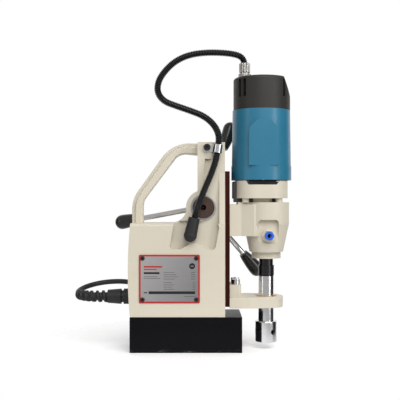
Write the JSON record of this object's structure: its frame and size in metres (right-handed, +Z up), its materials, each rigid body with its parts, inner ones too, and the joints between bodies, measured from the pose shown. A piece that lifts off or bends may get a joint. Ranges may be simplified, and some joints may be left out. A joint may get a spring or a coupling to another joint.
{
  "type": "magnetic drill press",
  "caption": "Magnetic drill press: electromagnet base, cast column with carrying handle, rack-fed dovetail slide, drill motor with arbor chuck, hose and mains lead.",
  "frame": {"origin": "centre of the magnet's bottom face, on the work surface", "axes": "+Z up along the drill's feed, +X from the handle towards the drill, -Y the side with the nameplate"},
  "size_m": [0.3333, 0.2336, 0.4506],
  "materials": {
    "magnet_paint": "black paint on steel",
    "copper_winding": "enamelled copper wire",
    "resin": "potting resin",
    "cream_casting": "semi-gloss cream paint on cast aluminium",
    "black_screw": "black oxide",
    "nameplate_metal": "printed aluminium plate",
    "panel_plastic": "dark control panel",
    "red_plastic": "red switch",
    "green_plastic": "green push-button",
    "board": "circuit board",
    "brown_steel": "brown blued steel",
    "ground_steel": "ground steel",
    "bronze": "bronze",
    "chrome_plate": "chrome plated",
    "dark_metal": "black oxide",
    "black_knob": "moulded phenolic knob",
    "blue_plastic": "moulded housing",
    "grey_plastic": "moulded end cap",
    "black_rubber": "rubber",
    "hose_black": "ribbed hose",
    "fitting_blue": "blue release collet"
  },
  "bodies": {
    "frame": {"magnet_body": "magnet_paint", "magnet_winding": "copper_winding", "winding_resin": "resin", "column_casting": "cream_casting", "base_screws": "black_screw", "nameplate": "nameplate_metal", "cover_screws": "black_screw", "control_panel": "panel_plastic", "control_board": "board", "gib_strip": "bronze", "gib_screws": "black_screw", "capstan_bushes": "ground_steel", "conduit_lower": "hose_black", "conduit_boot": "black_rubber", "conduit_clip": "chrome_plate", "clip_screw": "black_screw", "inlet_gland": "black_rubber", "cord_protector": "black_rubber", "mains_cord": "black_rubber", "cord_tail": "black_rubber", "cord_coil": "black_rubber", "cord_tie": "black_rubber", "mains_plug": "black_rubber", "plug_pins": "bronze"},
    "carriage": {"slide_bar": "brown_steel", "rack": "ground_steel", "gearbox_housing": "cream_casting", "gear_cover": "cream_casting", "gearbox_bearings": "ground_steel", "coolant_fitting": "chrome_plate", "motor_flange": "cream_casting", "flange_bolts": "black_screw", "motor_housing": "blue_plastic", "motor_end_cap": "grey_plastic", "motor_gland": "chrome_plate", "stator": "dark_metal", "armature_bearings": "ground_steel", "brush_holders": "bronze", "support_bracket": "cream_casting", "bracket_bush": "bronze", "bracket_block": "cream_casting", "bracket_screws": "chrome_plate", "conduit_upper": "hose_black"},
    "feed_capstan": {"pinion_shaft": "brown_steel", "capstan_hub": "dark_metal", "lever_rods": "chrome_plate", "lever_knobs": "black_knob", "hub_screw": "black_screw"},
    "spindle": {"arbor_shaft": "chrome_plate", "arbor_collar": "dark_metal", "arbor_chuck": "chrome_plate", "chuck_set_screws": "black_screw", "spindle_gear": "ground_steel"},
    "layshaft": {"layshaft_gear": "ground_steel"},
    "armature": {"armature": "ground_steel", "cooling_fan": "panel_plastic"},
    "magnet_rocker": {"magnet_switch": "red_plastic"},
    "start_key": {"start_button": "green_plastic"},
    "stop_key": {"stop_button": "red_plastic"},
    "coolant_release": {"coolant_collet": "fitting_blue"}
  },
  "joints": [
    {"name": "feed_slide", "type": "slide", "parent": "frame", "child": "carriage", "axis": [0, 0, 1], "range_m": [-0.01, 0.1], "deforming": ["conduit_upper"]},
    {"name": "feed_capstan_turn", "type": "hinge", "parent": "frame", "child": "feed_capstan", "pos_m": [0.0257, 0, 0.2124], "axis": [0, -1, 0], "range_deg": [-43, 425]},
    {"name": "spindle_turn", "type": "hinge", "parent": "carriage", "child": "spindle", "pos_m": [0.1208, 0, 0.1], "axis": [0, 0, 1], "continuous": true},
    {"name": "layshaft_turn", "type": "hinge", "parent": "carriage", "child": "layshaft", "pos_m": [0.115, 0.01914, 0.21], "axis": [0, 0, 1], "continuous": true},
    {"name": "armature_turn", "type": "hinge", "parent": "carriage", "child": "armature", "pos_m": [0.1135, 0, 0.3], "axis": [0, 0, 1], "continuous": true},
    {"name": "magnet_switch_rock", "type": "hinge", "parent": "frame", "child": "magnet_rocker", "pos_m": [-0.046, 0.0399, 0.108], "axis": [1, 0, 0], "range_deg": [0, 16]},
    {"name": "start_press", "type": "slide", "parent": "frame", "child": "start_key", "axis": [0, -1, 0], "range_m": [0, 0.003], "stiffness_N_per_m": 300},
    {"name": "stop_press", "type": "slide", "parent": "frame", "child": "stop_key", "axis": [0, -1, 0], "range_m": [0, 0.003], "stiffness_N_per_m": 300},
    {"name": "coolant_release_press", "type": "slide", "parent": "carriage", "child": "coolant_release", "axis": [0, 1, 0], "range_m": [0, 0.001], "stiffness_N_per_m": 500}
  ],
  "couplings": [
    {"joint": "feed_capstan_turn", "follows": "feed_slide", "rad_per_m": 74.074},
    {"joint": "layshaft_turn", "follows": "armature_turn", "ratio": -0.33333},
    {"joint": "spindle_turn", "follows": "armature_turn", "ratio": 0.14286}
  ]
}
